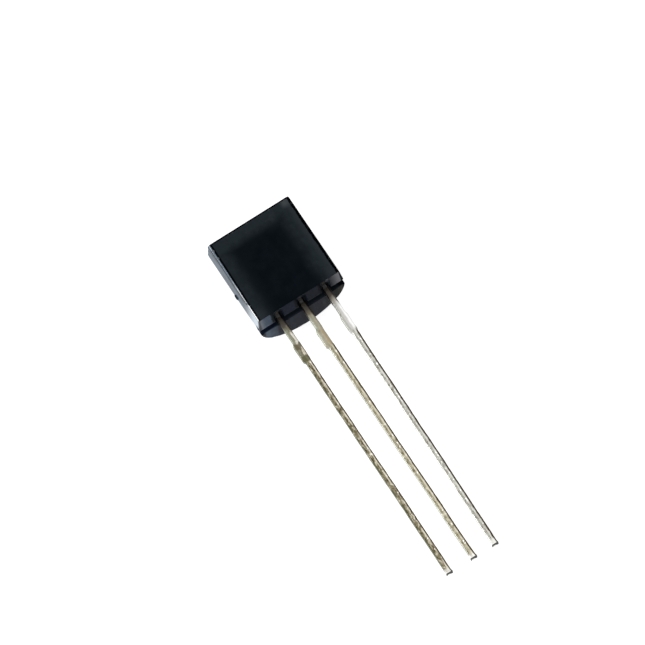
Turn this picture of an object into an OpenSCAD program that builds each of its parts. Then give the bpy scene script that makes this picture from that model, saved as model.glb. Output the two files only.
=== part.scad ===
// TO-92 transistor: a silicon die on a stamped leadframe, moulded into a black epoxy case.
//
// Each piece is drawn standing on its leads, in the component's own frame, in millimetres:
//   x runs across the flat face, y runs from the flat face (y = 0) to the round back,
//   and z runs from the lead end of the case (z = 0) up to its top. The leads point to -z.
// lying() then lays the whole part down, flat face up, on its lead tips and the lead end of its back.

/* [Case] */
// Width of the case where the two halves of the mould meet
case_w = 4.56; // [4.40:0.02:4.90]
// Thickness of the case, from the flat face to the back
case_t = 3.65; // [3.50:0.05:3.90]
// Height of the case where the two halves of the mould meet
case_h = 4.65; // [4.30:0.05:4.90]
// Width of the flat face
flat_w = 4.20; // [3.90:0.02:4.20]
// Bevel along the two upright edges of the flat face
flat_bevel = 0.09; // [0.04:0.01:0.10]
// Draft of the front half's two ends, in degrees
front_draft = 5; // [2:0.5:8]
// Draft of the back half's two ends, in degrees
back_draft = 1.5; // [0.5:0.5:4]

/* [Lead end of the case] */
// Depth of the cross groove that the leads leave from
groove_depth = 0.36; // [0.20:0.02:0.50]
// Gap in the groove behind the leads
groove_gap = 0.14; // [0.06:0.02:0.30]
// Width of the slot in front of each lead
slot_w = 0.44; // [0.40:0.02:0.70]
// Lip left between the flat face and each slot
slot_lip = 0.04; // [0.02:0.01:0.12]

/* [Marks of the mould] */
// Diameter of the ejector pin's mark in the back
pin_mark_d = 1.50; // [1.00:0.05:1.60]
// Depth of the ejector pin's mark
pin_mark_depth = 0.20; // [0.14:0.02:0.36]
// Height of the broken gate above the lead end of the case
gate_z = 2.10; // [0.80:0.10:3.60]
// Length of the broken gate along the case
gate_l = 0.24; // [0.10:0.02:0.50]
// Thickness of the broken gate
gate_t = 0.12; // [0.06:0.02:0.20]
// How far the broken gate stands out of the side
gate_out = 0.06; // [0.02:0.01:0.15]

/* [Leads] */
// Distance between the middles of neighbouring leads
lead_pitch = 1.27; // [1.10:0.01:1.30]
// Length of the leads below the case
lead_len = 14.50; // [12.50:0.10:16.00]
// Width of a lead below its shoulders
lead_w = 0.29; // [0.26:0.01:0.36]
// Thickness of the strip that the leads are stamped from
lead_t = 0.38; // [0.34:0.01:0.44]
// Depth of the middle of the leads behind the flat face
lead_depth = 1.25; // [1.15:0.01:1.35]
// Sideways offset of the row of leads in the case
lead_shift = 0.08; // [-0.10:0.01:0.10]
// Width of a lead where it leaves the case
root_w = 0.30; // [0.28:0.01:0.36]
// Width of the stub that is left of the tie bar on each lead
tie_w = 0.41; // [0.37:0.01:0.50]
// Distance from the case to the upper end of the stub
tie_start = 1.45; // [1.20:0.05:1.80]
// Length of the stub along the lead
tie_l = 0.80; // [0.60:0.05:1.20]
// Length over which a lead narrows at each end of the stub
tie_taper = 0.12; // [0.08:0.02:0.30]
// Sideways lean of the emitter lead at its tip
emitter_lean = -0.05; // [-0.12:0.01:0.12]
// Sideways lean of the base lead at its tip
base_lean = -0.01; // [-0.12:0.01:0.12]
// Sideways lean of the collector lead at its tip
collector_lean = -0.12; // [-0.14:0.01:0.12]

/* [Leadframe inside the case] */
// Height of the middle of the locking notches
lock_z = 0.68; // [0.66:0.01:0.74]
// Width of a lead between its locking notches
lock_w = 0.20; // [0.16:0.01:0.26]
// Length of a locking notch at its bottom
lock_l = 0.10; // [0.06:0.01:0.14]
// Height at which the bonding posts start
post_z = 0.96; // [0.94:0.01:1.06]
// Width of a bonding post
post_w = 0.78; // [0.60:0.02:0.84]
// Height of a bonding post
post_h = 0.60; // [0.50:0.02:0.66]
// Cut corner of the bonding posts and of the die paddle
corner_cut = 0.12; // [0.04:0.01:0.16]
// Width of the stem that carries the die paddle
stem_w = 0.45; // [0.38:0.01:0.50]
// Height at which the die paddle starts
paddle_z = 1.95; // [1.85:0.05:2.05]
// Width of the die paddle
paddle_w = 2.40; // [2.10:0.05:2.50]
// Height of the die paddle
paddle_h = 1.85; // [1.70:0.05:1.95]
// How far the die paddle reaches past the outer side of its stem
paddle_over = 0.12; // [0.04:0.01:0.20]
// Diameter of the hole that locks the die paddle in the epoxy
paddle_hole_d = 0.50; // [0.36:0.02:0.56]
// Distance of the hole's middle from the top of the die paddle
paddle_hole_in = 0.50; // [0.44:0.02:0.52]

/* [Die and bond wires] */
// Side of the die
die_w = 0.46; // [0.36:0.02:0.56]
// Thickness of the die
die_t = 0.20; // [0.14:0.02:0.26]
// Height of the die's middle above the bottom of the die paddle
die_up = 0.62; // [0.56:0.02:0.66]
// Thickness of the silver epoxy under the die
attach_t = 0.03; // [0.02:0.01:0.05]
// How far the silver epoxy spreads past the die
attach_over = 0.03; // [0.01:0.01:0.05]
// Distance of the two bonds from the edges of the die
pad_in = 0.13; // [0.11:0.01:0.14]
// Diameter of a bond wire
wire_d = 0.04; // [0.03:0.01:0.06]
// Diameter of the ball that starts a bond wire on the die
ball_d = 0.10; // [0.08:0.01:0.12]
// Height of the ball
ball_h = 0.03; // [0.02:0.01:0.05]
// Diameter of the pressed end of a bond wire on its post
stitch_d = 0.10; // [0.08:0.01:0.14]
// Height of the pressed end
stitch_h = 0.02; // [0.01:0.01:0.03]
// Straight rise of a bond wire above the die
loop_rise = 0.20; // [0.12:0.01:0.26]
// Bend radius of a bond wire at the top of its loop
loop_r = 0.10; // [0.06:0.01:0.14]

/* [Hidden] */
$fn = 64;
far = 30; // longer than the part, for cuts that run right through it

// The round back, and how far the drafts lift the four rims of the case
back_r = case_w / 2;
back_y = case_t - back_r;
front_lift = lead_depth * tan(front_draft);
back_lift = (case_t - lead_depth) * tan(back_draft);

// The strip, from its front face to its back face, and the groove around it
lead_front = lead_depth - lead_t / 2;
lead_back = lead_depth + lead_t / 2;
groove_back = lead_back + groove_gap;

// Places across the leadframe
emitter_x = lead_shift - lead_pitch;
base_x = lead_shift;
collector_x = lead_shift + lead_pitch;
paddle_right = collector_x + stem_w / 2 + paddle_over;
paddle_x = paddle_right - paddle_w / 2;
hole_z = paddle_z + paddle_h - paddle_hole_in;
die_z = paddle_z + die_up;
die_top = attach_t + die_t; // height of the die's top above the face of the strip
pad_off = die_w / 2 - pad_in;
post_mid = post_z + post_h / 2;

// The rest: the tips and the lead end of the back touch the surface together
tilt = atan((case_t - lead_back) / (lead_len + back_lift));
floor_z = back_lift * sin(tilt) - case_t * cos(tilt);
end_low_y = lead_front * sin(tilt) - lead_len * cos(tilt);
end_high_y = max(
    lead_depth * sin(tilt) + case_h * cos(tilt),
    case_t * sin(tilt) + (case_h - back_lift) * cos(tilt)
);

// ---- placing ----

// Lays the standing component down, with the middle of its box's underside at the origin
module lying() {
    translate([gate_out / 2, -(end_low_y + end_high_y) / 2, -floor_z])
        rotate([tilt - 90, 0, 0])
            children();
}

// A shape drawn as y against z, drawn out across the part to width w with its middle at x
module across(w, x = 0) {
    translate([x - w / 2, 0, 0])
        rotate([90, 0, 90])
            linear_extrude(w)
                children();
}

// A shape drawn as x against z, cut from the strip that the leadframe is stamped from
module stamped() {
    translate([0, lead_back, 0])
        rotate([90, 0, 0])
            linear_extrude(lead_t)
                children();
}

// A block of thickness t whose back is h above the front face of the strip, with its middle at x, z
module on_strip(x, z, w, t, h) {
    translate([x - w / 2, lead_front - h - t, z - w / 2])
        cube([w, t, w]);
}

// ---- case ----

// The case seen from its lead end: a flat front with bevelled corners and drafted sides, and a round back
module case_plan() {
    bevel_y = flat_bevel;
    bevel_x = flat_w / 2 + flat_bevel;
    polygon([
        [-flat_w / 2, 0], [flat_w / 2, 0], [bevel_x, bevel_y], [case_w / 2, lead_depth],
        [case_w / 2, back_y], [-case_w / 2, back_y], [-case_w / 2, lead_depth], [-bevel_x, bevel_y]
    ]);
    intersection() {
        translate([0, back_y]) circle(r = back_r);
        translate([-case_w / 2, back_y]) square([case_w, back_r]);
    }
}

// The case seen from its side: both ends slope away from the plane where the mould parts
module case_profile() {
    polygon([
        [0, front_lift], [lead_depth, 0], [case_t, back_lift],
        [case_t, case_h - back_lift], [lead_depth, case_h], [0, case_h - front_lift]
    ]);
}

// The groove across the lead end, and the sloping slot in front of each lead
module lead_end_cuts() {
    across(far)
        translate([lead_front, -far])
            square([groove_back - lead_front, far + groove_depth]);
    for (x = [emitter_x, base_x, collector_x])
        across(slot_w, x)
            polygon([
                [slot_lip, -far], [slot_lip, front_lift - slot_lip * tan(front_draft)],
                [lead_front, groove_depth], [lead_front, -far]
            ]);
}

// The flat-bottomed mark of the ejector pin in the middle of the round back
module pin_mark() {
    translate([0, case_t - pin_mark_depth, case_h / 2])
        rotate([-90, 0, 0])
            cylinder(d = pin_mark_d, h = far);
}

// What is left of the gate that the epoxy ran in through
module gate() {
    translate([-case_w / 2 - gate_out, lead_depth - gate_t / 2, gate_z - gate_l / 2])
        cube([case_w / 2, gate_t, gate_l]);
}

// Everything that the epoxy flows round and holds
module encased() {
    emitter_lead_shape();
    base_lead_shape();
    collector_lead_shape();
    die_shape();
    die_attach_shape();
    emitter_wire_shape();
    base_wire_shape();
}

module case_shape() {
    difference() {
        union() {
            intersection() {
                linear_extrude(case_h) case_plan();
                across(far) case_profile();
            }
            gate();
        }
        lead_end_cuts();
        pin_mark();
        encased();
    }
}

module case() { color("#1b1e22") lying() case_shape(); }

// ---- leads ----

// The outline of one lead up to height top, as rows of [z, half of the width, sideways offset]
function lead_rows(lean, top) = [
    [-lead_len, lead_w / 2, lean],
    [-(tie_start + tie_l + tie_taper), lead_w / 2, 0],
    [-(tie_start + tie_l), tie_w / 2, 0],
    [-tie_start, tie_w / 2, 0],
    [-(tie_start - tie_taper), root_w / 2, 0],
    [lock_z - lock_l, root_w / 2, 0],
    [lock_z - lock_l / 2, lock_w / 2, 0],
    [lock_z + lock_l / 2, lock_w / 2, 0],
    [lock_z + lock_l, root_w / 2, 0],
    [top, root_w / 2, 0]
];

// The flat outline of one lead at x, from its tip through the tie bar's stub to its locking notches
module lead_outline(x, lean, top) {
    rows = lead_rows(lean, top);
    last = len(rows) - 1;
    polygon(concat(
        [for (r = rows) [x + r[2] + r[1], r[0]]],
        [for (i = [last:-1:0]) [x + rows[i][2] - rows[i][1], rows[i][0]]]
    ));
}

// A plate with cut corners, w wide and h high, with the middle of its bottom edge at x, z
module cut_plate(x, z, w, h) {
    c = corner_cut;
    translate([x, z])
        polygon([
            [-w / 2 + c, 0], [w / 2 - c, 0], [w / 2, c], [w / 2, h - c],
            [w / 2 - c, h], [-w / 2 + c, h], [-w / 2, h - c], [-w / 2, c]
        ]);
}

// A lead that ends in a bonding post
module post_lead(x, lean) {
    stamped()
        union() {
            lead_outline(x, lean, post_mid);
            cut_plate(x, post_z, post_w, post_h);
        }
}

module emitter_lead_shape() { post_lead(emitter_x, emitter_lean); }

module base_lead_shape() { post_lead(base_x, base_lean); }

// The lead that widens into the stem and the paddle under the die
module collector_lead_shape() {
    stamped()
        difference() {
            union() {
                lead_outline(collector_x, collector_lean, post_mid);
                translate([collector_x - stem_w / 2, post_z])
                    square([stem_w, paddle_z + paddle_h / 2 - post_z]);
                cut_plate(paddle_x, paddle_z, paddle_w, paddle_h);
            }
            translate([paddle_x, hole_z]) circle(d = paddle_hole_d);
        }
}

module emitter_lead() { color("#9c9381") lying() emitter_lead_shape(); }

module base_lead() { color("#c8bda0") lying() base_lead_shape(); }

module collector_lead() { color("#d2cfc8") lying() collector_lead_shape(); }

// ---- die ----

module die_shape() { on_strip(paddle_x, die_z, die_w, die_t, attach_t); }

module die_attach_shape() { on_strip(paddle_x, die_z, die_w + 2 * attach_over, attach_t, 0); }

module die() { color("#5b6470") lying() die_shape(); }

module die_attach() { color("#c4c6c8") lying() die_attach_shape(); }

// ---- bond wires ----

// One bond wire in its own plane, where x runs along it and y is the height above the strip's face.
// It rises from its ball on the die, bends over at radius loop_r and runs straight down to its post.
module bond_loop(span) {
    bend = [loop_r, die_top + ball_h + loop_rise];
    reach = [span - bend[0], -bend[1]];
    start = atan2(reach[1], reach[0]) + acos(loop_r / norm(reach));
    run = sqrt(reach * reach - loop_r * loop_r);
    intersection() {
        union() {
            translate([0, die_top, 0]) rotate([-90, 0, 0]) cylinder(d = ball_d, h = ball_h);
            translate([0, die_top, 0]) rotate([-90, 0, 0]) cylinder(d = wire_d, h = ball_h + loop_rise);
            translate([bend[0], bend[1], 0]) {
                rotate([0, 0, start])
                    rotate_extrude(angle = 180 - start)
                        translate([loop_r, 0]) circle(d = wire_d);
                rotate([0, 0, start])
                    translate([loop_r, 0, 0])
                        rotate([90, 0, 0])
                            cylinder(d = wire_d, h = run + wire_d);
            }
            translate([span, 0, 0]) rotate([-90, 0, 0]) cylinder(d = stitch_d, h = stitch_h);
        }
        translate([-far / 2, 0, -far / 2]) cube(far);
    }
}

// A bond wire from the point a on the die to the point b on a post, each given as [x, z]
module bond_wire(a, b) {
    d = b - a;
    translate([a[0], lead_front, a[1]])
        rotate([0, -atan2(d[1], d[0]), 0])
            rotate([180, 0, 0])
                bond_loop(norm(d));
}

module emitter_wire_shape() {
    bond_wire([paddle_x - pad_off, die_z - pad_off], [emitter_x, post_mid]);
}

module base_wire_shape() {
    bond_wire([paddle_x + pad_off, die_z - pad_off], [base_x, post_mid]);
}

module emitter_bond_wire() { color("#d8b04a") lying() emitter_wire_shape(); }

module base_bond_wire() { color("#d8b04a") lying() base_wire_shape(); }

// ---- the part ----

case();
emitter_lead();
base_lead();
collector_lead();
die();
die_attach();
emitter_bond_wire();
base_bond_wire();
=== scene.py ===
# %% [markdown]
# # A TO-92 transistor on a white table
# The real part is a silicon chip on a stamped leadframe, moulded into a black epoxy case.
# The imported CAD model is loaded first. It fixes the place and the size of every piece, in metres,
# and all that this lesson adds is laid over it. Nothing here moves or resizes a CAD solid.

# %% Load the frame
import math

import bmesh
import bpy
from mathutils import Matrix, Quaternion, Vector


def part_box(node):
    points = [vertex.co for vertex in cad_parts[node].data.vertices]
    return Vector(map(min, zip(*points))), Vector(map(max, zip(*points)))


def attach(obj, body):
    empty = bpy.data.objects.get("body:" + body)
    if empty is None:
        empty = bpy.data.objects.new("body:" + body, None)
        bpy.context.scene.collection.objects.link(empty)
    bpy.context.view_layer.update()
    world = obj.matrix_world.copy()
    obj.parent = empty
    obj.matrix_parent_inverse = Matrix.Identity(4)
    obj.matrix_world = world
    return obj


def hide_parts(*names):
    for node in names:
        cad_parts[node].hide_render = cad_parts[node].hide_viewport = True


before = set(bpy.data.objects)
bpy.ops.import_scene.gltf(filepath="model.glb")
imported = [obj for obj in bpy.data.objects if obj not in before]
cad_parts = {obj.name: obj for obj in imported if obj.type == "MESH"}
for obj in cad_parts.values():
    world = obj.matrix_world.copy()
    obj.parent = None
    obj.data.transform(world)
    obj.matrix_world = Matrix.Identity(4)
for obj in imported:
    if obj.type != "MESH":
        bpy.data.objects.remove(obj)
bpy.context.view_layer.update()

print("CAD nodes:", sorted(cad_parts))

# %% [markdown]
# ## The component's own frame
# The part lies flat face up on its lead tips and on the lead end of its round back, so nothing on it
# is square to the table. It is easier to think of it standing on its leads: x across the flat face,
# y from the flat face to the round back, z up from the lead end of the case. One matrix takes that
# standing frame, in millimetres, to the lying frame, in metres. Its tilt follows from the same few
# sizes that the CAD model uses.

# %% Lay the standing frame down
MM = 0.001
case_w, case_t, case_h = 4.56, 3.65, 4.65
lead_depth, lead_t, lead_len = 1.25, 0.38, 14.50
draft = math.radians(1.5)
back_lift = (case_t - lead_depth) * math.tan(draft)
lead_back = lead_depth + lead_t / 2

tilt = math.atan((case_t - lead_back) / (lead_len + back_lift))
turn_down = Matrix.Rotation(tilt - math.pi / 2, 4, "X")
low, high = (Vector(corner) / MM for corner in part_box("case"))
near_rim = turn_down @ Vector((case_w / 2, case_t, back_lift))
far_rim = turn_down @ Vector((case_w / 2, case_t, case_h - back_lift))
shift = Vector((high.x - near_rim.x, high.y - far_rim.y, low.z - near_rim.z))
lay_down = Matrix.Scale(MM, 4) @ Matrix.Translation(shift) @ turn_down
stand_up = lay_down.inverted()
print("tilt in degrees:", round(math.degrees(tilt), 3), " shift in mm:", [round(v, 4) for v in shift])

# %% [markdown]
# ## The view
# A tiny part is looked at from far away through a long lens, so its edges stay almost parallel. The
# camera is placed by the direction it looks from, its distance and the width that it sees, and is
# then rolled about its own axis so that the leads run down to the right.

# %% Place the camera
view_target = Vector((0.3853, 3.6076, 2.1924)) * MM
view_azimuth, view_elevation, view_roll = -12.367, 62.128, -21.132
view_distance = 344.03 * MM
view_width = 29.508 * MM


def direction(azimuth, elevation):
    """The direction from the object to a viewer, where azimuth 0 is on the side of the lead tips."""
    a, e = math.radians(azimuth), math.radians(elevation)
    return Vector((math.sin(a) * math.cos(e), -math.cos(a) * math.cos(e), math.sin(e)))


def look_along(item, way, roll=0.0):
    """Turns a camera or a lamp to look along a direction, and rolls it about its own axis."""
    item.rotation_mode = "QUATERNION"
    item.rotation_quaternion = way.to_track_quat("-Z", "Y") @ Quaternion((0, 0, 1), math.radians(roll))


def new_object(name, data):
    """An object in the scene, for some data."""
    made = bpy.data.objects.new(name, data)
    bpy.context.scene.collection.objects.link(made)
    return made


camera = new_object("camera", bpy.data.cameras.new("camera"))
bpy.context.scene.camera = camera
to_viewer = direction(view_azimuth, view_elevation)
camera.location = view_target + to_viewer * view_distance
look_along(camera, -to_viewer, view_roll)
camera.data.lens = camera.data.sensor_width * view_distance / view_width
camera.data.clip_start, camera.data.clip_end = view_distance * 0.1, view_distance * 10
print("lens in mm:", round(camera.data.lens, 1), " camera at:", [round(v, 4) for v in camera.location])

# %% [markdown]
# ## Helpers for node trees
# A node tree is easier to read when one line adds a node, sets it and wires it. `add` does that, and
# the others are its short forms. They put a node in the tree of the sockets that they are given, so
# only a node without inputs names its tree. The first cell has the forms for numbers, which materials
# and Geometry Nodes share.

# %% Number helpers


def feed(socket, value):
    """Links an output to an input, or sets the input to a plain value."""
    if isinstance(value, bpy.types.NodeSocket):
        socket.id_data.links.new(value, socket)
    elif value is not None:
        socket.default_value = value


def feed_named(node, **values):
    """Feeds a node's inputs by name, where _ stands for a space."""
    for name, value in values.items():
        feed(node.inputs[name.replace("_", " ")], value)


def add(kind, *values, out=0, tree=None, **settings):
    """Adds a node and returns one output. Names with a capital are inputs, the others are properties."""
    named = {name: settings.pop(name) for name in list(settings) if name[0].isupper()}
    fed = (value for value in (*values, *named.values()) if isinstance(value, bpy.types.NodeSocket))
    node = (tree or next(fed).id_data).nodes.new(kind)
    for name, value in settings.items():
        setattr(node, name, value)
    for socket, value in zip(node.inputs, values):
        feed(socket, value)
    feed_named(node, **named)
    return node.outputs[out]


def maths(operation, *values, clamp=False):
    """One Math node."""
    return add("ShaderNodeMath", *values, operation=operation, use_clamp=clamp)


def chain(operation, values):
    """Joins several values by one operation, from left to right."""
    total = values[0]
    for value in values[1:]:
        total = maths(operation, total, value)
    return total


def plus(*values):
    """The sum of several values."""
    return chain("ADD", values)


def times(*values):
    """The product of several values."""
    return chain("MULTIPLY", values)


def most(*values):
    """The largest of several values."""
    return chain("MAXIMUM", values)


def least(*values):
    """The smallest of several values."""
    return chain("MINIMUM", values)


def minus(first, second):
    """The first value less the second."""
    return maths("SUBTRACT", first, second)


def gap(value, middle=0.0):
    """How far a value lies from middle, on either side of it."""
    return maths("ABSOLUTE", minus(value, middle))


def scaled(value, by, start):
    """start, plus value times by."""
    return maths("MULTIPLY_ADD", value, by, start)


def mix_value(share, first, second):
    """first where share is 0, second where it is 1."""
    return scaled(share, minus(second, first), first)


def ramp(value, low, high, out_low=0.0, out_high=1.0):
    """Value eased from out_low at low to out_high at high, and held beyond them."""
    return add("ShaderNodeMapRange", interpolation_type="SMOOTHSTEP", Value=value, From_Min=low,
               From_Max=high, To_Min=out_low, To_Max=out_high)


def noise(vector, scale, detail=2.0, roughness=0.5, distortion=0.0):
    """A noise value from 0 to 1, with scale in waves per millimetre."""
    return add("ShaderNodeTexNoise", Vector=vector, Scale=scale, Detail=detail, Roughness=roughness,
               Distortion=distortion)


def wobble(vector, scale, *detail):
    """Noise around zero, from -0.5 to 0.5."""
    return minus(noise(vector, scale, *detail), 0.5)


def axes(vector):
    """The x, y and z of a vector."""
    return add("ShaderNodeSeparateXYZ", vector, out=slice(3))


def point(x, y, z):
    """A vector from its x, y and z."""
    return add("ShaderNodeCombineXYZ", x, y, z)


print("number helpers ready")

# %% [markdown]
# The second cell has the helpers for materials. Their sizes are millimetres in the standing frame, so
# `standing_position` undoes the lying down for a piece's Object coordinates. A finish is a ground
# colour, and then layers that each cover a share of it.

# %% Colour helpers


def srgb(red, green, blue):
    """A colour written as it looks on screen, from 0 to 255, as the linear colour that shaders use."""
    screen = (red / 255, green / 255, blue / 255)
    linear = [v / 12.92 if v <= 0.04045 else ((v + 0.055) / 1.055) ** 2.4 for v in screen]
    return (*linear, 1.0)


def blend_colour(share, *colours):
    """The first colour where share is 0, the second where it is 1. Each is an output or a screen colour."""
    node = share.id_data.nodes.new("ShaderNodeMix")
    node.data_type = "RGBA"
    feed(node.inputs["Factor"], share)
    for socket, colour in zip([s for s in node.inputs if s.type == "RGBA"], colours):
        feed(socket, srgb(*colour) if isinstance(colour, tuple) else colour)
    return next(s for s in node.outputs if s.type == "RGBA")


def overlay(colour, *layers):
    """A colour with layers laid over it in order. Each is the share that it covers, and its tint."""
    for share, tint in layers:
        colour = blend_colour(share, colour, tint)
    return colour


def standing_position(tree, stretch=(1, 1, 1)):
    """The place on a piece in the standing frame, in millimetres, with each axis stretched."""
    here = add("ShaderNodeTexCoord", tree=tree, out="Object")
    metres, angles = stand_up.to_translation(), stand_up.to_euler()
    vector = add("ShaderNodeMapping", here, tuple(metres), tuple(angles), (1 / MM,) * 3)
    return add("ShaderNodeVectorMath", vector, stretch, operation="MULTIPLY")


def new_material(name):
    """A material, its tree and its one Principled BSDF."""
    material = bpy.data.materials.new(name)
    material.use_nodes = True
    tree = material.node_tree
    return material, tree, tree.nodes["Principled BSDF"]


print("mid grey as linear light:", round(srgb(128, 128, 128)[0], 3))

# %% [markdown]
# ## Shader groups
# Epoxy and tin share three effects, so each is a node group that is built once. Fine grain is the
# dull skin that a spark-eroded mould or a plating bath leaves. Scattered marks are specks and pits,
# cut from a noise by a threshold. A worn edge breaks up a smooth edge mask, so that wear comes in
# nicks and not as a line.

# %% Build the shader groups


def new_tree(name, kind, takes, gives):
    """A node group, its named inputs and its one output. An input is given by its kind or its number."""
    tree = bpy.data.node_groups.new(name, kind)
    for label, value in takes.items():
        numeric = isinstance(value, float)
        socket_type = "NodeSocket" + ("Float" if numeric else value)
        socket = tree.interface.new_socket(label, in_out="INPUT", socket_type=socket_type)
        if numeric:
            socket.default_value = value
    tree.interface.new_socket(gives[0], in_out="OUTPUT", socket_type="NodeSocket" + gives[1])
    return tree, tree.nodes.new("NodeGroupInput").outputs, tree.nodes.new("NodeGroupOutput").inputs[0]


def new_group(name, takes, gives):
    """A shader node group that takes a position and some numbers, and gives one number."""
    return new_tree(name, "ShaderNodeTree", {"Position": "Vector", **takes}, (gives, "Float"))


def use_group(group, **values):
    """Places a group, feeds its inputs by name and returns its output."""
    return add("ShaderNodeGroup", node_tree=group, **values)


def grain_group():
    """Fine grain: two sizes of noise, mixed into one height."""
    tree, takes, height = new_group("fine_grain", {"Per mm": 20.0, "Share": 0.5}, "Height")
    fine = noise(takes["Position"], takes["Per mm"], 3.0, 0.6)
    coarse = noise(takes["Position"], times(takes["Per mm"], 0.22), 2.0)
    feed(height, mix_value(takes["Share"], fine, coarse))
    return tree


def marks_group():
    """Scattered marks: 1 in the mark, 0 outside. Share is how much of the surface they cover."""
    takes = {"Per mm": 6.0, "Share": 0.1, "Edge": 0.04}
    tree, takes, mask = new_group("scattered_marks", takes, "Mask")
    value = noise(takes["Position"], takes["Per mm"], 3.0, 0.55, 0.6)
    limit = ramp(takes["Share"], 0.0, 1.0, 0.78, 0.30)
    feed(mask, ramp(value, limit, plus(limit, takes["Edge"])))
    return tree


def worn_group():
    """Worn edge: an edge mask broken up by noise."""
    tree, takes, mask = new_group("worn_edge", {"Edge": 0.0, "Per mm": 5.0, "Wear": 0.5}, "Mask")
    broken = noise(takes["Position"], takes["Per mm"], 4.0, 0.65)
    reach = plus(times(takes["Edge"], takes["Wear"]), broken)
    feed(mask, times(ramp(reach, 0.78, 0.92), ramp(takes["Edge"], 0.05, 0.4)))
    return tree


def skin(shader, vector, per_mm, share, rough, by, strength=0.0, depth=0.0):
    """A surface's grain: its roughness and how much that varies, and a bump with its depth in mm."""
    grain = use_group(fine_grain, Position=vector, Per_mm=per_mm, Share=share)
    feed(shader.inputs["Roughness"], scaled(grain, by, rough))
    if strength:
        bump = add("ShaderNodeBump", Strength=strength, Distance=depth * MM, Height=grain)
        feed(shader.inputs["Normal"], bump)


fine_grain, scattered_marks, worn_edge = grain_group(), marks_group(), worn_group()
print("shader groups:", [group.name for group in (fine_grain, scattered_marks, worn_edge)])

# %% [markdown]
# ## The table, the room and the lamps
# The table is a plain white sheet, wide enough to reach past every view. A ray from the camera, or
# one that glances off metal or plastic, sees it brighter than the lamps make it, so it reads as clean
# white and still keeps the part's soft shadow. The room does the same. One broad lamp from the left
# shapes the part, and a weaker one from above fills the shadows.

# %% Build the table, the room and the lamps
table_half = 1.5
table_white, table_lift = 0.80, 0.78
room_fill = 0.35
lamp_target = Vector((0, 7, 2)) * MM
lamps = {  # name: (azimuth, elevation, distance and size in metres, power in watts)
    "left_lamp": (-110, 16, 0.30, 0.16, 0.45),
    "top_lamp": (-20, 72, 0.34, 0.26, 0.26),
}


def seen_directly(tree):
    """1 for a ray from the camera, or one reflected or refracted on its way from it, else 0."""
    rays = tree.nodes.new("ShaderNodeLightPath").outputs
    return most(rays["Is Camera Ray"], rays["Is Glossy Ray"], rays["Is Transmission Ray"])


def make_table():
    """The white table, under everything."""
    material, tree, shader = new_material("white_table")
    feed_named(shader, Base_Color=(*[table_white] * 3, 1), Roughness=0.9, Specular_IOR_Level=0.1,
               Emission_Color=(1, 1, 1, 1), Emission_Strength=times(seen_directly(tree), table_lift))
    mesh = bpy.data.meshes.new("table")
    corners = [(-1, -1), (1, -1), (1, 1), (-1, 1)]
    mesh.from_pydata([(x * table_half, y * table_half, 0) for x, y in corners], [], [(0, 1, 2, 3)])
    mesh.materials.append(material)
    table = new_object("table", mesh)


def make_room():
    """White where it is seen, and a dimmer even fill where it only lights."""
    world = bpy.data.worlds.new("room")
    world.use_nodes = True
    bpy.context.scene.world = world
    tree = world.node_tree
    strength = ramp(seen_directly(tree), 0.0, 1.0, room_fill, 1.0)
    feed_named(tree.nodes["Background"], Color=(1, 1, 1, 1), Strength=strength)


def make_lamp(name, azimuth, elevation, distance, size, power):
    """A square soft lamp, aimed at the middle of the case."""
    lamp = new_object(name, bpy.data.lights.new(name, "AREA"))
    way = direction(azimuth, elevation)
    lamp.location = lamp_target + way * distance
    look_along(lamp, -way)
    lamp.data.size, lamp.data.energy = size, power


make_table()
make_room()
for name, setting in lamps.items():
    make_lamp(name, *setting)
bpy.context.scene.view_settings.view_transform = "Standard"
print("lamps:", ", ".join(lamps))

# %% [markdown]
# ## Working copies of the CAD solids
# A finished piece starts from its CAD solid, so it can't drift from it. The solid's mesh comes as
# loose triangles, lying down and in metres. A working copy is merged, stood up and put in
# millimetres, where a voxel or a chip has a size that is easy to think about.

# %% Copy and finish meshes


def standing_copy(node):
    """A merged copy of a CAD node's mesh as a bmesh, standing, in millimetres."""
    work = bmesh.new()
    work.from_mesh(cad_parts[node].data)
    work.transform(stand_up)
    bmesh.ops.remove_doubles(work, verts=work.verts, dist=1e-5)
    return work


def as_object(name, work):
    """Turns a bmesh into an object in the scene, and frees the bmesh."""
    mesh = bpy.data.meshes.new(name)
    work.to_mesh(mesh)
    work.free()
    return new_object(name, mesh)


def bake_modifiers(piece):
    """Replaces a piece's mesh with what its modifiers make of it, and removes them."""
    view = bpy.context.evaluated_depsgraph_get()
    made = bpy.data.meshes.new_from_object(piece.evaluated_get(view))
    piece.modifiers.clear()
    piece.data = made
    return piece


def lay(piece):
    """Lays a standing piece down in metres, smooth shaded, with its object at the origin."""
    piece.data.transform(lay_down)
    piece.data.polygons.foreach_set("use_smooth", [True] * len(piece.data.polygons))


print("triangles in the case's CAD mesh:", len(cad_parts["case"].data.polygons))

# %% [markdown]
# ## Black epoxy
# Moulding epoxy is mostly ground silica with carbon black, so it is almost black where it is smooth
# and pale grey where it is chipped. The flat face is matt, from the mould's dull finish, and a little
# hazy towards its edges. The walls were dragged along the steel as the part was pushed out, so they
# are smooth and mirror the table at a low angle. Each region is told apart by its place in the
# standing frame, so nothing has to be painted by hand.

# %% Mark out the regions of the case
flat_left, flat_right, flat_high = -2.055, 2.08, 4.50
bevel_edge, bevel_foot = (-2.085, -2.115), (0.105, 0.085)
bevel_slant = 0.058  # how much further out the bevel begins at the lead end
groove_mid, groove_half, groove_depth = 1.34, 0.26, 0.36
slot_half, lead_pitch, lead_shift = 0.22, 1.27, 0.08
soft = 0.02
back_r = case_w / 2
back_y = case_t - back_r


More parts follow.
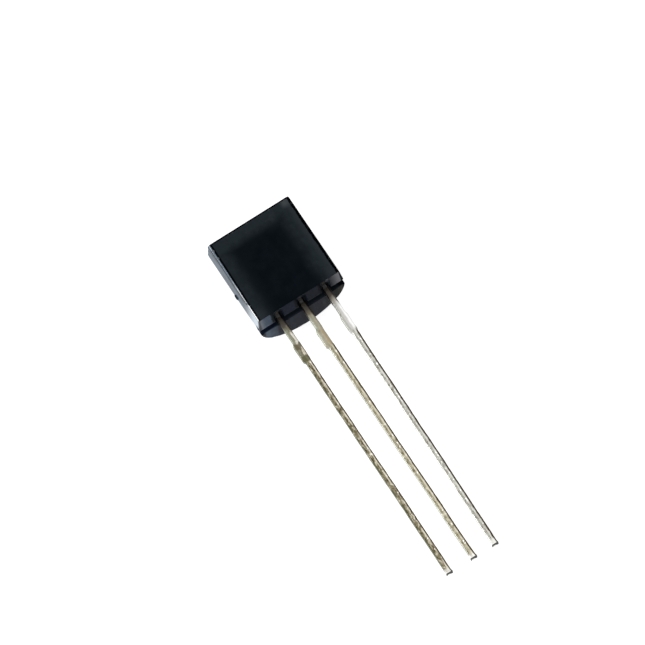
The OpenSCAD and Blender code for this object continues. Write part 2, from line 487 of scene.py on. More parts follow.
def flat_masks(x, y, z):
    """The flat face, how far in a place is from its sides and top, the left bevel, and its painted
    highlight.
    """
    flat = ramp(y, 0.07, 0.02)
    slid = minus(x, ramp(z, 0.4, 4.4, -bevel_slant, 0.0))
    inset = least(minus(flat_right, x), minus(slid, flat_left), minus(flat_high, z))
    bevel = times(ramp(x, *bevel_edge), ramp(y, *bevel_foot))
    return flat, inset, bevel, times(bevel, ramp(slid, *bevel_edge))


def side_masks(x, y, z):
    """The walls, the lands, the groove with its slots, the slots alone, and x from the nearest lead."""
    around = add("ShaderNodeVectorMath", point(x, minus(y, back_y), 0), out=1, operation="LENGTH")
    wall = most(ramp(gap(x), 2.11, 2.15), ramp(around, back_r - 0.06, back_r - 0.03))
    land = ramp(z, 0.18, 0.14)
    beside = maths("WRAP", minus(x, lead_shift), lead_pitch / 2, -lead_pitch / 2)
    low = ramp(z, groove_depth + 0.06, groove_depth + 0.02)
    over_slot = ramp(gap(beside), slot_half + soft, slot_half - soft)
    in_slot = times(over_slot, low, ramp(y, 1.10, 1.02), ramp(y, 0.02, 0.06))
    over_groove = ramp(gap(y, groove_mid), groove_half + soft, groove_half - soft)
    return wall, land, most(in_slot, times(over_groove, low)), in_slot, beside


def smudges(here):
    """Large faint marks, soft at their edges."""
    return use_group(scattered_marks, Position=here, Per_mm=2.4, Share=0.30, Edge=0.16)


print("round back: radius", back_r, "mm, axis", round(back_y, 3), "mm behind the flat face")

# %% [markdown]
# The flat face comes first: a dark ground, haze along its sides and top, and a thin black outline of
# painted shade. The bevel on its left is painted pale as a highlight, brightest near the lead end.

# %% Colour the flat face and its bevel
# The bevel's tints are a painted highlight, white near the lead end and dark at its very foot.
bevel_highlight = [  # (the height where a tint starts, the height where it is full, the tint)
    (4.0, 4.35, (136, 147, 157)), (2.8, 1.6, (206, 213, 220)),
    (1.3, 0.65, (250, 251, 251)), (0.22, 0.06, (34, 40, 46)),
]


def flat_colour(here, x, z, inset, highlit_bevel):
    """The flat face: hazy along its sides and top, paler at its corners, with a thin black outline of
    painted shade.
    """
    cloud = wobble(here, 1.4, 5.0, 0.65)
    side = most(ramp(x, -1.85, -1.15, 0.78, 0.25), ramp(x, 0.2, 0.8), ramp(z, 3.4, 3.9))
    haze = times(ramp(scaled(cloud, 0.9, inset), 1.18, 0.20), side,
                 ramp(noise(here, 2.6, 4.0, 0.6), 0.35, 0.65, 0.82, 1.18))
    top_corner = times(ramp(z, 4.0, 4.3), ramp(x, 1.55, 1.90))
    low_corners = times(ramp(z, 0.9, 0.3), ramp(gap(x), 1.5, 1.95))
    streak = times(ramp(z, 3.6, 4.0), ramp(cloud, 0.02, 0.18))
    rubbed = most(low_corners, streak, ramp(x, 1.70, 2.0))
    rim = times(ramp(inset, 0.16, 0.05), ramp(x, -1.9, -1.7))
    worn_rim = use_group(worn_edge, Position=here, Edge=rim, Per_mm=5.0, Wear=0.25)
    # the outline is painted shade: a thin black line along the sides and top, more ragged towards the right
    ragged = scaled(wobble(here, 7.0, 3.0), ramp(x, 1.0, 1.9, 0.02, 0.12), inset)
    colour = overlay(
        (12, 19, 24),
        (ramp(cloud, -0.12, 0.12), (17, 24, 29)),
        (haze, (43, 51, 56)),
        (top_corner, (84, 90, 94)),
        (times(rubbed, 0.5), (58, 64, 69)),
        (times(smudges(here), haze, 0.35), (60, 64, 74)),
        (times(worn_rim, 0.6), (112, 118, 122)),
        (ramp(ragged, 0.065, 0.03), (1, 2, 3)))  # the outline
    # the bevel is a painted highlight: pale grey, then the tints listed above along its height
    steps = [(ramp(z, start, full), tint) for start, full, tint in bevel_highlight]
    return blend_colour(highlit_bevel, colour, overlay((112, 125, 137), *steps))


print("tints along the bevel:", len(bevel_highlight) + 1)

# %% [markdown]
# The walls are near black, with faint streaks along the way the part was pushed out of the mould. The
# top end wasn't dragged, so it keeps a soft haze, with a rubbed line where the two drafts meet.

# %% Colour the walls and the top end


def wall_colour(drawn, x, y, z, line):
    """The walls: near black with faint drawn streaks, a painted reflection low on the left, and a dark line
    under the bevel.
    """
    rubbed = ramp(noise(drawn, 5.0, 3.0, 0.6), 0.35, 0.70)
    # painted reflection: the left wall paler low down, towards the lead end
    low_left_reflection = times(ramp(x, -1.6, -2.1), ramp(z, 1.2, 0.4))
    foot = times(ramp(z, 0.24, 0.16), ramp(y, 1.0, 1.1))
    return overlay((14, 18, 24), (rubbed, (30, 38, 46)), (low_left_reflection, (98, 102, 108)), (foot, (12, 15, 22)),
                   (times(line, 0.9), (8, 10, 14)))


def end_colour(here, y):
    """The top end: a soft haze with faint marks, and a rubbed line where the two drafts meet."""
    haze = ramp(noise(here, 1.4, 5.0, 0.65), 0.30, 0.70)
    parting = ramp(gap(y, lead_depth), 0.01, 0.04, 0.4, 0)
    return overlay((19, 24, 29), (haze, (38, 45, 51)), (times(smudges(here), 0.30), (62, 68, 74)),
                   (parting, (76, 82, 88)))


print("parting line:", lead_depth, "mm behind the flat face")

# %% [markdown]
# The lead end is bluish and paler at both sides, with a painted highlight at its left end and painted
# shade beside the leads and the slots. The groove and the slots lie in shade, with painted shade black at
# the groove's right end and painted light on the right side of the last slot.

# %% Colour the lead end


def land_shade_mask(here, x, y, beside, front):
    """Painted shade on the lands: the right rim, each lead's cast shadow behind it, and each slot's left
    side.
    """
    rim = times(ramp(x, 2.10, 2.15), front)
    # behind each lead: its cast shadow, painted on the rear land
    behind = times(ramp(beside, -0.30, -0.15, 0.2, 1), ramp(beside, 0.36, 0.46, 0.75, 0),
                   ramp(y, 1.4, 1.5), ramp(y, 2.6, 3.2, 1, 0.3))
    ragged = scaled(wobble(here, 5.0, 3.0), 0.12, beside)
    slot_side = times(ramp(ragged, -0.42, -0.35), ramp(beside, -0.15, -0.05, 0.9, 0), front)
    return most(rim, behind, slot_side)


def land_colour(here, x, y, beside):
    """The lands: bluish, paler at both sides, olive at the right end, and with painted shade beside the
    leads.
    """
    front, rear = ramp(y, 1.1, 1.0), ramp(y, 1.5, 1.6)
    cloud = noise(here, 2.2, 3.0)
    paler = maths("MULTIPLY", ramp(x, -1.0, -1.9), plus(cloud, 0.4), clamp=True)
    bright = ramp(x, 1.30, 2.15)
    olive_end = blend_colour(ramp(x, 1.70, 2.20), (27, 30, 29), (90, 91, 86))
    return overlay(
        (33, 40, 57),
        (ramp(x, -0.2, 0.2), (29, 35, 46)),  # greyer on the right
        (ramp(cloud, 0.40, 0.60, 0, 0.5), (34, 36, 52)),
        (paler, (105, 120, 139)),
        # the left end: a painted highlight on the lands' left edge
        (times(ramp(x, -1.85, -2.25), front), (160, 166, 174)),  # the left end
        (times(bright, bright, front), (150, 152, 156)),
        (times(ramp(x, 0.90, 1.15), ramp(y, 1.8, 2.3)), (56, 60, 66)),  # the right rear
        (times(ramp(x, 1.50, 1.60), rear), olive_end),
        # painted shade beside the leads and the slots and along the right rim
        (land_shade_mask(here, x, y, beside, front), (6, 9, 14)))


def recess_colour(x, y, in_slot):
    """The groove and slots: paler in the middle, painted shade black at the right end, painted light in the
    last slot.
    """
    lit_side = times(in_slot, ramp(x, 1.42, 1.48), ramp(y, 1.06, 1.0))
    return overlay(
        (24, 33, 51),
        (ramp(x, -0.5, 0.5), (27, 34, 40)),  # greyer on the right
        # painted shade: the groove's right end, black
        (ramp(x, 1.90, 2.02), (9, 13, 20)),  # the right end
        (ramp(gap(x), 1.6, 1.1), (36, 44, 52)),  # the middle
        (lit_side, (106, 112, 119)))


print("lead end:", 2 * groove_half, "mm groove,", 2 * slot_half, "mm slots every", lead_pitch, "mm")

# %% [markdown]
# Now the regions are laid over each other. Tin and flux ran a short way into the three slots, and the
# nicks show pale filler. The walls get a thin waxy coat, and the left one a polish like metal's. The
# flat face and the lead end have neither.

# %% Mix the epoxy
wax_tint = (0.67, 0.84, 1.0, 1.0)


def epoxy_gloss(shader, drawn, z, masks):
    """The waxy coat on the walls, and the left wall's polish. Both are strongest low on the left."""
    wall, flat, land, right_side, left_side, line = masks
    streaks = noise(drawn, 3.0, 3.0, 0.6)
    low_end = ramp(z, 1.6, 0.4)
    bare = most(flat, land, times(right_side, 0.85))
    shown = times(minus(1.0, bare), scaled(line, -0.65, 1.0))
    thin = ramp(streaks, 0.30, 0.62, 0.10, 0.30)
    coat = mix_value(left_side, thin, scaled(low_end, 0.95, 0.05))
    polished = most(ramp(streaks, 0.30, 0.62, 0.14, 0.43), low_end)
    feed_named(shader, Specular_IOR_Level=0.008, Specular_Tint=wax_tint, Coat_Roughness=0.12,
               Coat_Weight=times(wall, coat, shown), Metallic=times(left_side, polished, shown))


def epoxy_material():
    """The case's material. Its masks come from the standing position and the chipped attribute."""
    material, tree, shader = new_material("black_moulded_epoxy")
    here, drawn = standing_position(tree), standing_position(tree, (1, 1, 0.25))
    x, y, z = axes(here)
    flat, inset, bevel, highlit_bevel = flat_masks(x, y, z)
    wall, land, recess, in_slot, beside = side_masks(x, y, z)
    line = times(ramp(y, 0.45, 0.28), ramp(z, 1.0, 1.5), ramp(z, 4.3, 4.0))
    run_edge = scaled(wobble(here, 8.0, 3.0), 0.10, gap(beside))
    run = times(ramp(run_edge, 0.09, 0.03), in_slot, ramp(z, 0.16, 0.30))
    chipped = add("ShaderNodeAttribute", tree=tree, out="Fac", attribute_name="chipped")
    nick = use_group(worn_edge, Position=here, Edge=chipped, Per_mm=7.0, Wear=0.8)
    colour = overlay(
        end_colour(here, y),
        (wall, wall_colour(drawn, x, y, z, line)),
        (times(land, ramp(gap(x), 2.18, 2.10)), land_colour(here, x, y, beside)),
        (recess, recess_colour(x, y, in_slot)),
        (run, (104, 92, 78)),
        (most(flat, bevel), flat_colour(here, x, z, inset, highlit_bevel)),
        (times(nick, ramp(x, 1.9, 2.05, 0.75, 0.15)), (104, 110, 116)))
    feed(shader.inputs["Base Color"], colour)

    right_side, left_side = ramp(x, 1.6, 2.1), times(wall, ramp(x, -1.5, -2.1))
    dull = scaled(left_side, -0.18, scaled(right_side, 0.35, scaled(flat, 0.16, 0.30)))
    skin(shader, here, per_mm=16.0, share=0.4, rough=dull, by=0.10, strength=0.35, depth=0.004)
    epoxy_gloss(shader, drawn, z, (wall, flat, land, right_side, left_side, line))
    return material


epoxy = epoxy_material()
print("epoxy nodes:", len(epoxy.node_tree.nodes))

# %% [markdown]
# ## The case
# On the real part, epoxy is pressed into a steel mould around the leadframe. The mould has small
# radii everywhere, so no edge of the case is truly sharp. Bevelling this shape edge by edge is
# fragile, because the slots end in a thin lip. Instead the CAD solid's pockets for the leadframe are
# closed, the solid is rebuilt from voxels, and smoothing then rounds every edge alike. The round
# back is pulled onto its true cylinder afterwards, because the CAD mesh gives it flats.

# %% Round the case's edges
voxel, smooth_passes = 0.040, 3
pocket_margin = 0.30
chord = 0.011  # how far the flats of the CAD mesh lie inside the true cylinder
rim_band = 0.2


def is_pocket(face):
    """True for a face of a pocket that the leadframe fills, well inside the epoxy."""
    x, y, z = face.calc_center_median()
    inner_r = back_r - pocket_margin
    inside = abs(x) < inner_r and pocket_margin < y and math.hypot(x, max(y - back_y, 0)) < inner_r
    return inside and groove_depth + 1e-3 < z < case_h - pocket_margin


def closed_case():
    """The case with the pockets that the leadframe fills closed off."""
    work = standing_copy("case")
    pockets = [face for face in work.faces if is_pocket(face)]
    bmesh.ops.delete(work, geom=pockets, context="FACES")
    rims = [edge for edge in work.edges if edge.is_boundary]
    filled = bmesh.ops.holes_fill(work, edges=rims, sides=0)["faces"]
    loose = [vert for vert in work.verts if not vert.link_faces]
    bmesh.ops.delete(work, geom=loose, context="VERTS")
    bmesh.ops.triangulate(work, faces=work.faces)
    bmesh.ops.recalc_face_normals(work, faces=work.faces)
    gaps = sum(edge.is_boundary for edge in work.edges)
    print("pocket faces:", len(pockets), " rims closed:", len(filled), " open edges left:", gaps)
    return as_object("case_epoxy", work)


def soften(piece):
    """Rebuilds a closed piece from voxels and rounds its edges."""
    remesh = piece.modifiers.new("remesh", "REMESH")
    remesh.mode, remesh.voxel_size, remesh.adaptivity = "VOXEL", voxel, 0.0
    smooth = piece.modifiers.new("smooth", "SMOOTH")
    smooth.factor, smooth.iterations = 0.5, smooth_passes
    return bake_modifiers(piece)


def true_back(piece):
    """Moves the round back's points onto its cylinder, and leaves its rounded rims as they are."""
    for vert in piece.data.vertices:
        x, y = vert.co.x, vert.co.y - back_y
        away = math.hypot(x, y)
        if y > 0 and back_r - rim_band < away:
            wanted = back_r - max(back_r - away - chord, 0)
            vert.co.x, vert.co.y = x / away * wanted, y / away * wanted + back_y


case_piece = soften(closed_case())
true_back(case_piece)
print("case faces:", len(case_piece.data.polygons))

# %% [markdown]
# ## Helpers for Geometry Nodes
# Both trees of this lesson take one geometry, some named sizes and a material. They end alike too:
# instances are made real and the material is set, so that what comes out is plain mesh. A modifier's
# input is set by its socket's identifier.

# %% Geometry Nodes helpers


def geometry_tree(name, takes, sizes):
    """A Geometry Nodes tree that takes one geometry, some named sizes and a material."""
    takes = {takes: "Geometry", **sizes, "Material": "Material"}
    return new_tree(name, "GeometryNodeTree", takes, ("Geometry", "Geometry"))


def end_tree(result, geometry, material):
    """Ends a tree: instances made real, the material set, and the result given out."""
    whole = add("GeometryNodeRealizeInstances", geometry)
    feed(result, add("GeometryNodeSetMaterial", whole, None, material))


def store(geometry, name, value):
    """Stores a number on every point of a geometry."""
    kind = "GeometryNodeStoreNamedAttribute"
    return add(kind, geometry, None, name, value, data_type="FLOAT", domain="POINT")


def recall(tree, name):
    """A number that was stored on the points."""
    return add("GeometryNodeInputNamedAttribute", name, tree=tree, data_type="FLOAT")


def chance(tree, seed):
    """A number from 0 to 1, drawn for each point."""
    return add("FunctionNodeRandomValue", tree=tree, out=1, data_type="FLOAT", Seed=seed)


def stretched(vector, by):
    """A vector times a number."""
    return add("ShaderNodeVectorMath", vector, Scale=by, operation="SCALE")


def run_tree(piece, tree, values):
    """Runs a tree on a piece with its inputs set, keeps the mesh that it makes, and lays it down."""
    modifier = piece.modifiers.new(tree.name, "NODES")
    modifier.node_group = tree
    for item in tree.interface.items_tree:
        if item.in_out == "INPUT" and item.name in values:
            modifier[item.identifier] = values[item.name]
    lay(bake_modifiers(piece))


print("geometry helpers ready")

# %% [markdown]
# ## Nicks along the edges
# Parts are shaken and poured in bulk, so they chip along the edges of the flat face. A Geometry Nodes
# tree scatters points along that outline and drops most of them. It then presses the surface in near
# each point that is left, and stores how deep it went, so that the epoxy shows its pale filler there.

# %% Build the tree that chips the edges


def nick_points(tree, size):
    """Points scattered along the outline of the flat face, with most of them dropped."""
    outline = add("GeometryNodeCurvePrimitiveQuadrilateral", size["Width"], size["Height"])
    place = point(0, size["Depth in"], size["Middle"])
    upright = add("GeometryNodeTransform", Geometry=outline, Translation=place, Rotation=(math.pi / 2, 0, 0))
    points = add("GeometryNodeCurveToPoints", mode="LENGTH", Curve=upright, Length=size["Step"])
    spread = point(*[size["Spread"]] * 3)
    offset = add("FunctionNodeRandomValue", data_type="FLOAT_VECTOR", Min=stretched(spread, -1.0),
                 Max=spread, Seed=4)
    moved = add("GeometryNodeSetPosition", Geometry=points, Offset=offset)
    z = axes(add("GeometryNodeInputPosition", tree=tree))[2]
    off_sides = plus(ramp(z, 0.5, 0.3), ramp(z, 4.2, 4.4))
    dropped = add("FunctionNodeCompare", plus(chance(tree, 11), off_sides), size["Kept"],
                  data_type="FLOAT", operation="GREATER_THAN")
    return add("GeometryNodeDeleteGeometry", moved, dropped, domain="POINT")


def chip_tree(sizes):
    """Presses small nicks into the case along the outline of its flat face."""
    tree, size, result = geometry_tree("edge_nicks", "Case", sizes)
    skewed = maths("POWER", chance(tree, 23), 2.5)
    reach = mix_value(skewed, size["Least"], size["Most"])
    known = store(nick_points(tree, size), "reach", reach)
    away = add("GeometryNodeProximity", known, out=1, target_element="POINTS")
    nearest = add("GeometryNodeSampleNearest", known, domain="POINT")
    reach_here = add("GeometryNodeSampleIndex", data_type="FLOAT", domain="POINT",
                     Geometry=known, Value=recall(tree, "reach"), Index=nearest)
    deep = minus(reach_here, away)
    pressed = times(most(deep, 0.0), size["Bite"])
    inward = stretched(add("GeometryNodeInputNormal", tree=tree), times(pressed, -1))
    marked = store(size["Case"], "chipped", ramp(deep, -0.01, 0.03))
    chipped = add("GeometryNodeSetPosition", Geometry=marked, Offset=inward)
    end_tree(result, chipped, size["Material"])
    return tree


nick_sizes = {
    "Width": 4.30, "Height": 4.47, "Depth in": 0.04, "Middle": case_h / 2, "Step": 0.10, "Spread": 0.05,
    "Kept": 0.32, "Least": 0.035, "Most": 0.12, "Bite": 0.5,
}
nicks = chip_tree(nick_sizes)
run_tree(case_piece, nicks, {**nick_sizes, "Material": epoxy})
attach(case_piece, "root")
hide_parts("case")
chipped_points = sum(value.value > 0.5 for value in case_piece.data.attributes["chipped"].data)
print("nick tree nodes:", len(nicks.nodes), " points in nicks:", chipped_points)

# %% [markdown]
# ## The leads
# The three leads are punched from one strip, so each has a smooth rolled edge at its front and a
# torn edge at its back, and a wider stub where the tie bar was cut away. Below the case a lead is one
# section drawn out along one line, which is a rule, so a Geometry Nodes tree makes it: a fine box
# whose points are moved to the right width at each height, with rounded corners, a slight ripple
# along the punched sides and a lip where the tip was cut. Inside the case a lead follows its own
# outline, so there the tree takes the end of the CAD solid and joins it on.

# %% Build the tree that draws a lead
join_z = 0.30
strip_rings, strip_columns = 420, 11
lip_length = 0.14


def half_width(size, height, stub_top, stub_end):
    """How much of the tie bar's stub there is at a height, and half the lead's width there."""
    below = ramp(height, minus(stub_end, size["Taper"]), stub_end)
    above = ramp(height, stub_top, plus(stub_top, size["Taper"]), 1, 0)
    in_stub = times(below, above)
    plain = ramp(height, stub_end, stub_top, size["Width"], size["Root width"])
    half = times(mix_value(in_stub, plain, size["Stub width"]), 0.5)
    lip = ramp(height, size["Tip"], plus(size["Tip"], lip_length), size["Tip lip"], 0)
    return in_stub, plus(half, lip)


def wandering(size, across, height):
    """How far each punched side wanders by itself, and how far the whole lead sways."""
    seed = times(size["Seed"], 13.7)
    at_side = point(scaled(maths("SIGN", across), 9.0, seed), 0, height)
    ripple = times(wobble(at_side, 1.7, 4.0, 0.62), size["Ripple"])
    free = ramp(height, -2.0, 0.0, 1, 0)
    return ripple, times(wobble(point(seed, 5.0, height), 0.35, 1.0), size["Sway"], free)


def rounded(unit, half, corner):
    """Where a point from -1 to 1 lies on the flat of a side, and how far it reaches past it."""
    at = times(unit, half)
    flat = minus(half, corner)
    held = most(least(at, flat), times(flat, -1))
    return held, minus(at, held)


def joined(outside, inner):
    """A lead's outside joined to its inner end. The share across is read again from the outside."""
    tree = outside.id_data
    union = tree.nodes.new("GeometryNodeMeshBoolean")
    union.operation, union.solver = "UNION", "EXACT"
    feed(union.inputs["Mesh 2"], outside)
    feed(union.inputs["Mesh 2"], inner)
    nearest = add("GeometryNodeSampleNearestSurface", data_type="FLOAT",
                  Mesh=outside, Value=recall(tree, "across"))
    return store(union.outputs["Mesh"], "across", nearest)


def lead_tree(sizes):
    """The Geometry Nodes tree of one lead, in millimetres and standing."""
    tree, size, result = geometry_tree("stamped_lead", "Inner end", sizes)
    box = add("GeometryNodeMeshCube", (2, 2, 1), strip_columns, strip_columns, strip_rings, tree=tree)
    across, through, along = axes(add("GeometryNodeInputPosition", tree=tree))
    height = mix_value(plus(along, 0.5), size["Tip"], size["Top"])
    stub_top = times(size["Stub start"], -1)
    stub_end = minus(stub_top, size["Stub length"])
    in_stub, half = half_width(size, height, stub_top, stub_end)
    ripple, sway = wandering(size, across, height)

    # the section: a rectangle with round corners, kept whole over the cut tip
    x, over_x = rounded(across, plus(half, ripple), size["Corner"])
    y, over_y = rounded(through, times(size["Thickness"], 0.5), size["Corner"])
    way = add("ShaderNodeVectorMath", point(over_x, over_y, 0), operation="NORMALIZE")
    corner = stretched(way, most(gap(over_x), gap(over_y)))

    lean_share = maths("DIVIDE", minus(stub_end, height), minus(stub_end, size["Tip"]), clamp=True)
    middle = plus(scaled(lean_share, size["Lean"], size["Middle"]), sway)
    middle = scaled(in_stub, size["Stub shift"], middle)
    core = point(plus(x, middle), plus(y, size["Depth"]), height)
    moved = add("ShaderNodeVectorMath", core, corner, operation="ADD")
    outside = add("GeometryNodeSetPosition", store(box, "across", across), None, moved)
    end_tree(result, joined(outside, size["Inner end"]), size["Material"])
    return tree


lead_sizes = {
    "Tip": -lead_len, "Top": join_z + 0.1, "Middle": 0.0, "Lean": 0.0, "Depth": lead_depth,
    "Width": 0.29, "Root width": 0.30, "Stub width": 0.41, "Stub start": 1.45, "Stub length": 0.80,
    "Stub shift": 0.0, "Taper": 0.16, "Thickness": lead_t, "Corner": 0.05, "Ripple": 0.045, "Sway": 0.05,
    "Tip lip": 0.025, "Seed": 1.0,
}
stamped = lead_tree(lead_sizes)
print("lead tree nodes:", len(stamped.nodes))

# %% [markdown]
# ## Tin plating
# The leads were dipped in tin after moulding. Each took it differently: the left one is dull and
# olive, the middle one is straw coloured and the right one is bright. Along a lead the plating runs in
# streaks, with specks where it is thin. It is dark along the torn right edge and on the cut tip, and
# brown where the flux burnt close to the epoxy, darkened further there by painted shade. The materials
# share one recipe and differ in colour.

# %% Set the colours of each lead
lead_colours = {  # node: dark, face, pale and side wall
    "emitter_lead": ((70, 60, 42), (124, 116, 94), (196, 190, 172), (100, 104, 86)),
    "base_lead": ((110, 101, 76), (151, 146, 126), (198, 191, 170), (182, 186, 178)),
    "collector_lead": ((116, 112, 102), (162, 161, 152), (200, 200, 193), (222, 224, 220)),
}
lead_wear = {  # node: (where the torn edge starts across, share of specks, strength of the olive stripe)
    "emitter_lead": (0.62, 0.32, 0.95), "base_lead": (0.52, 0.20, 0.0), "collector_lead": (0.44, 0.20, 0.0),
}
# The palest patches are painted highlights on the tin; the darker ones are the plating's own tone.
lead_patches = {  # node: (height, half length, middle across, half width, colour, strength) of each patch
    "emitter_lead": [
        (-0.62, 0.22, 0.0, 2.0, (104, 99, 82), 0.8), (-1.00, 0.60, -0.8, 0.90, (134, 136, 120), 0.9),
        (-1.15, 0.45, 0.75, 0.70, (206, 204, 194), 0.9), (-1.90, 0.40, -0.6, 0.70, (120, 120, 104), 0.8),
        (-1.58, 0.20, 0.2, 1.0, (96, 87, 70), 0.9), (-1.92, 0.30, 0.62, 0.18, (190, 184, 166), 0.9),
        (-2.24, 0.22, 0.1, 1.5, (90, 88, 64), 0.9),
    ],
    "base_lead": [
        (-0.60, 0.35, 0.0, 2.0, (112, 104, 86), 0.85), (-1.10, 0.55, 0.0, 2.0, (150, 147, 130), 0.75),
        (-1.90, 0.60, 0.0, 2.0, (156, 150, 130), 0.8), (-1.30, 0.95, -1.0, 0.60, (160, 163, 148), 0.9),
        (-1.90, 0.55, 0.45, 0.35, (154, 134, 102), 0.6),
    ],
    "collector_lead": [
        (-0.55, 0.30, 0.0, 2.0, (144, 139, 128), 0.8), (-1.55, 0.95, 0.0, 2.0, (190, 188, 184), 1.0),
        (-1.55, 0.95, 0.9, 0.80, (232, 232, 231), 1.0), (-1.55, 0.90, -1.0, 0.70, (162, 163, 154), 0.9),
    ],
}
torn_edge, cut_tip, tip_face = (64, 51, 25), (16, 14, 9), (222, 222, 216)
glint_tin = (248, 248, 244)
# the burnt root and the soot are partly painted shade
burnt_and_shaded_root, root_side, speck = (80, 75, 68), (22, 20, 18), (50, 42, 30)
soot_and_shade, olive, slot_tin = (48, 46, 42), (64, 68, 46), (140, 141, 143)
print("leads with their own tin:", ", ".join(lead_colours))

# %% [markdown]
# One lead's tin is mixed like the epoxy. The plating's mottle is the ground, and the patches, the palest
# of them painted highlights, the torn edge, the cut tip and the burnt flux at the root, partly painted
# shade, are laid over it.

# %% Mix the tin of each lead


def tin_ground(here, drawn_out, across, node):
    """The plating's mottle, with pale streaks and painted glints beside the torn edge, and a plain side
    wall.
    """
    dark, face, pale, wall = lead_colours[node]
    torn_from, speck_share, stripe = lead_wear[node]
    mottle = noise(drawn_out, 9.5, 4.0, 0.72, 0.3)
    beside = gap(across, torn_from - 0.32)
    near = ramp(beside, 0.45, 0.05)
    # the pale streaks beside the torn edge: partly rubbed tin, partly a painted highlight
    rubbed = use_group(worn_edge, Position=drawn_out, Edge=near, Per_mm=5.0, Wear=0.42)
    # glints: painted highlights, small bright flecks in a row beside the torn edge
    glint = times(ramp(noise(here, 8.0, 1.0), 0.63, 0.68), ramp(beside, 0.35, 0.1))
    broken = ramp(noise(drawn_out, 6.0, 3.0), 0.42, 0.56)
    specks = use_group(scattered_marks, Position=here, Per_mm=8.0, Share=speck_share)
    return overlay(
        dark,
        (ramp(mottle, 0.40, 0.50), face),
        (most(rubbed, ramp(mottle, 0.54, 0.62)), pale),
        (glint, glint_tin),
        (ramp(across, -0.80, -0.99), wall),
        (times(ramp(across, -0.45, -0.75, 0, stripe), broken), olive),
        (times(specks, 0.8), speck))


def patched(colour, height, across, wander, patches):
    """The same colour with patches of other tints laid over it."""
    for middle, half, at, wide, shade, strength in patches:
        along = plus(gap(height, middle), wander)
        aside = scaled(wander, min(wide, 1.0), gap(across, at))
        patch = times(ramp(along, half * 0.6, half, strength, 0), ramp(aside, wide * 1.1, wide * 0.6))
        colour = blend_colour(patch, colour, shade)
    return colour


def tip_masks(height, across, through):
    """The cut end, and the dark torn share of it: a line along its front that turns down on the left."""
    end = ramp(height, -lead_len + 0.02, -lead_len + 0.004)
    dark_depth = most(ramp(across, -0.2, 1.0, 0.58, 1.05), ramp(across, -0.4, -0.95))
    return end, times(end, ramp(minus(through, dark_depth), 0.10, -0.06))


def root_sides(height, across):
    """The dark sides of the root: both in the shade of the slot, and fainter ones just below it."""
    both = most(ramp(across, 0.35, 0.75), ramp(across, -0.75, -1.0))
    right = times(ramp(across, 0.45, 0.90), ramp(height, -0.95, -0.60, 0, 0.85))
    left = times(ramp(across, -0.35, -0.85), ramp(height, -0.95, -0.60, 0, 0.20))
    return most(times(both, ramp(height, -0.45, -0.10)), right, left)


def tin_material(node):
    """The plating of one lead."""
    material, tree, shader = new_material(node + "_tin")
    here, drawn_out = standing_position(tree), standing_position(tree, (1, 1, 0.45))
    _, y, height = axes(here)
    through = maths("DIVIDE", minus(y, lead_depth - lead_t / 2), lead_t)
    across = add("ShaderNodeAttribute", tree=tree, out="Fac", attribute_name="across")
    wander = times(wobble(here, 4.5, 3.0), 0.5)
    ragged = plus(height, wander)

    torn_from = lead_wear[node][0]
    torn = times(ramp(scaled(wander, 0.6, across), torn_from, torn_from + 0.12),
                 ramp(height, -2.15, -2.5, 0, 0.97), ramp(across, 0.98, 1.0, 1, 0.9))
    pale_end = times(ramp(ragged, -lead_len + 0.10, -lead_len + 0.30, 0.7, 0), ramp(across, 0.7, 0.5))
    end, dark_end = tip_masks(height, across, through)
    off_soot = gap(scaled(wander, 0.4, height), 0.05)
    ground = tin_ground(here, drawn_out, across, node)
    colour = overlay(
        patched(ground, height, across, wander, lead_patches[node]),
        (torn, torn_edge),
        (pale_end, tip_face),
        (end, tip_face),
        (dark_end, cut_tip),
        # burnt flux and soot at the root, both partly painted shade where the case and its slot shade the
        # lead
        (ramp(ragged, -0.66, -0.30), burnt_and_shaded_root),
        (ramp(off_soot, 0.04, 0.14, 0.18, 0), soot_and_shade),
        (ramp(height, 0.10, 0.19, 0, 0.85), slot_tin),
        (root_sides(height, across), root_side))
    dull = most(times(dark_end, 0.9), times(torn, 0.75))
    feed_named(shader, Base_Color=colour, Metallic=minus(1.0, dull), Specular_IOR_Level=0.1)
    skin(shader, drawn_out, per_mm=14.0, share=0.5, rough=0.26, by=0.25, strength=0.5, depth=0.006)
    return material


tin = {node: tin_material(node) for node in lead_colours}
print("tin materials:", [material.name for material in tin.values()])

# %% [markdown]
# ## Draw the three leads
# Each lead is one object with its own inputs: its place in the row, how far it leans at the tip, and
# its seed. The inner end is cut from its CAD solid just inside the case, where nobody can see the
# joint. The modifier is then turned into plain mesh and removed.

# %% Draw the leads
leads = {  # node: (place in the row, lean at the tip, width of the stub and its shift, seed)
    "emitter_lead": (-1, -0.05, 0.39, -0.03, 1.0),
    "base_lead": (0, -0.01, 0.37, -0.05, 2.0),
    "collector_lead": (1, -0.12, 0.40, -0.01, 3.0),
}


def inner_end(node):
    """The part of a lead's CAD solid that is inside the case, closed where it is cut."""
    work = standing_copy(node)
    parts = work.verts[:] + work.edges[:] + work.faces[:]
    cut = bmesh.ops.bisect_plane(
        work, geom=parts, plane_co=(0, 0, join_z), plane_no=(0, 0, -1), clear_outer=True)["geom_cut"]
    rim = [part for part in cut if isinstance(part, bmesh.types.BMEdge)]
    bmesh.ops.contextual_create(work, geom=rim)
    bmesh.ops.recalc_face_normals(work, faces=work.faces)
    return as_object(node + "_tin", work)


def draw_lead(node, material):
    """One finished lead, in place of its CAD solid."""
    step, lean, stub_w, stub_shift, seed = leads[node]
    piece = inner_end(node)
    own = {"Middle": lead_shift + step * lead_pitch, "Lean": lean, "Stub width": stub_w,
           "Stub shift": stub_shift, "Seed": seed, "Material": material}
    run_tree(piece, stamped, {**lead_sizes, **own})
    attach(piece, "root")
    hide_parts(node)
    print(node, "faces:", len(piece.data.polygons), "materials:", len(piece.data.materials))


for node in leads:
    draw_lead(node, tin[node])

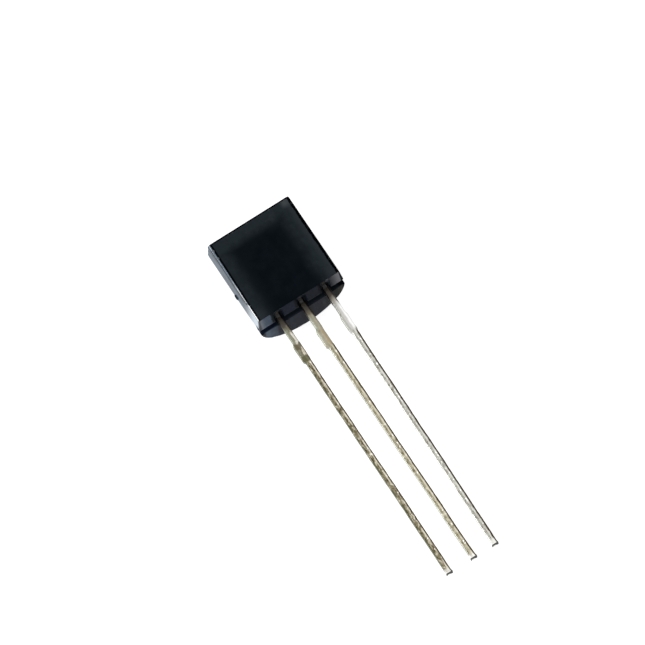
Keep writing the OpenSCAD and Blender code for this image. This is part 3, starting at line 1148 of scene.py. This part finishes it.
# %% [markdown]
# ## The pieces inside the epoxy
# The die, the silver epoxy under it and the two bond wires keep their CAD meshes, and nobody sees
# them unless the case is hidden. They are still finished: dark oxide with aluminium fingers on the
# die, bright flakes in the silver epoxy, and fine drawing lines along the gold wires.

# %% Finish the die, the silver epoxy and the bond wires
finger_pitch, die_border = 0.05, 0.17
silver_tints = (150, 150, 148), (186, 186, 182), (226, 226, 222)
gold_tints = (196, 152, 62), (222, 182, 92), (246, 216, 138)


def silicon_material():
    """Dark oxide on silicon, with the pale aluminium fingers of the emitter and the base."""
    material, tree, shader = new_material("polished_silicon")
    here = standing_position(tree)
    low, high = (Vector(corner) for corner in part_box("die"))
    middle = stand_up @ ((low + high) / 2)
    x, _, z = axes(here)
    x = minus(x, middle.x)
    reach = most(gap(x), gap(z, middle.z))
    finger = ramp(maths("PINGPONG", x, finger_pitch / 2), finger_pitch * 0.20, finger_pitch * 0.26)
    metal = times(finger, ramp(reach, die_border + 0.01, die_border))
    colour = overlay((64, 70, 92), (noise(here, 3.0, 2.0), (96, 92, 104)), (metal, (196, 196, 192)))
    feed_named(shader, Base_Color=colour, Metallic=scaled(metal, 0.6, 0.4))
    skin(shader, here, per_mm=60.0, share=0.3, rough=0.10, by=0.15)
    return material


def filled_metal(name, tints, per_mm, stretch):
    """Metal with flakes or drawing lines: two tints, a brighter mark and a fine grain."""
    low, high, flake = tints
    material, tree, shader = new_material(name)
    here = standing_position(tree, stretch)
    marks = use_group(scattered_marks, Position=here, Per_mm=per_mm, Share=0.4)
    colour = overlay(low, (noise(here, per_mm * 0.4, 3.0), high), (marks, flake))
    feed_named(shader, Base_Color=colour, Metallic=1.0)
    skin(shader, here, per_mm, share=0.4, rough=0.2, by=0.3, strength=0.4, depth=0.002)
    return material


silver = filled_metal("silver_epoxy", silver_tints, 60.0, (1, 1, 1))
gold = filled_metal("gold_wire", gold_tints, 40.0, (1, 1, 0.3))
inside = {"die": silicon_material(), "die_attach": silver, "emitter_bond_wire": gold, "base_bond_wire": gold}
for node, material in inside.items():
    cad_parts[node].data.materials.clear()
    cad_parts[node].data.materials.append(material)
print("finished inside the case:", ", ".join(inside))
